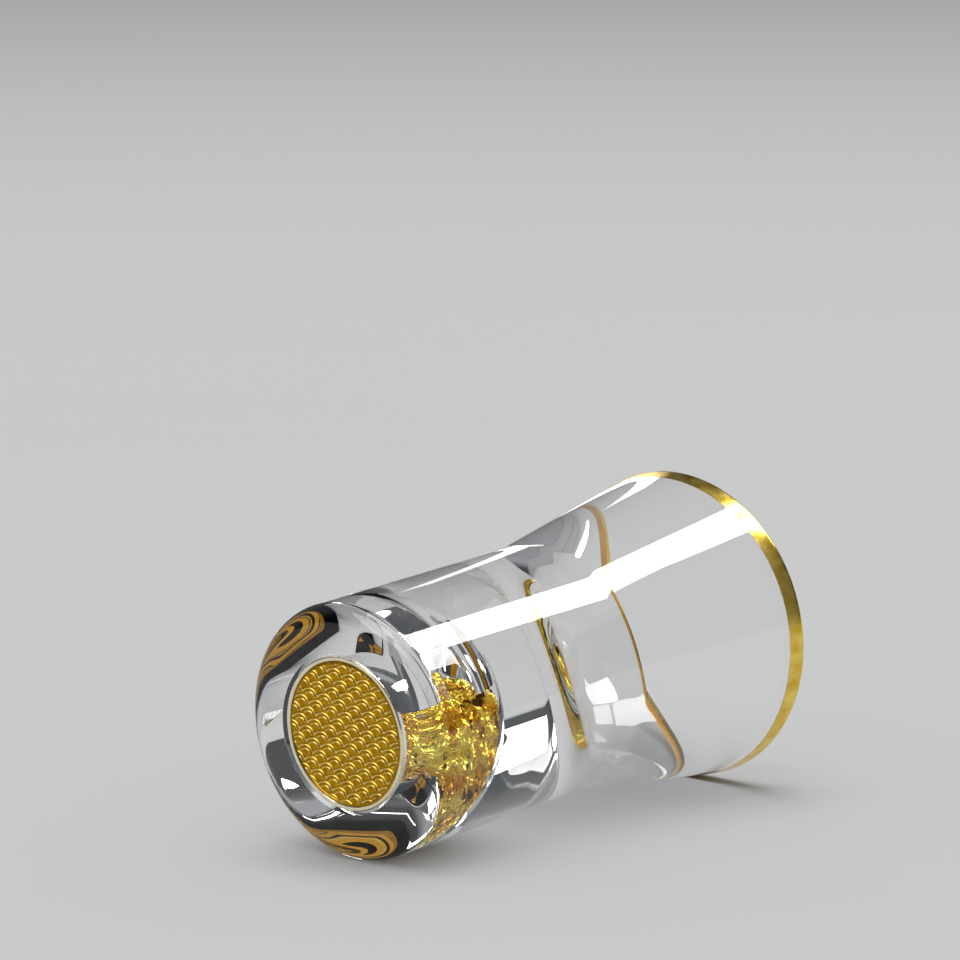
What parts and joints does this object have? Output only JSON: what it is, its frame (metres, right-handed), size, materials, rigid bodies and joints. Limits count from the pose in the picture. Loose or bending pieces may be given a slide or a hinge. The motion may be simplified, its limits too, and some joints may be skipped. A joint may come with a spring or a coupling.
{
  "type": "shot glass",
  "caption": "Heavy-based crystal shot glass with a gilded lip, crumpled gold foil in a clear filling sealed in a domed chamber under the bowl, and an embossed gold disc under it.",
  "frame": {"origin": "centre of the foot, on the plane the glass stands on", "axes": "+Z along the axis of the glass, from the foot up to the lip; +X across it"},
  "size_m": [0.038, 0.038, 0.0615],
  "materials": {
    "crystal": "clear colourless crystal, fire-polished",
    "lip_gold": "fired gilding, bright but slightly brushed",
    "ring_gold": "bright polished pale gold",
    "disc_gold": "embossed satin gold with pale raised lines",
    "filling": "clear liquid or soft gel, glossy at its surface",
    "foil_gold": "crumpled leaf gold"
  },
  "bodies": {
    "root": {"glass_body": "crystal", "rim_gilding": "lip_gold", "retaining_ring": "ring_gold", "base_disc": "disc_gold", "clear_filling": "filling", "foil_leaf_on_disc": "foil_gold", "foil_leaf_second": "foil_gold", "foil_leaf_third": "foil_gold", "foil_leaf_fourth": "foil_gold", "foil_leaf_fifth": "foil_gold", "foil_leaf_sixth": "foil_gold", "foil_leaf_under_dome": "foil_gold", "foil_leaf_in_dome": "foil_gold"}
  },
  "joints": []
}
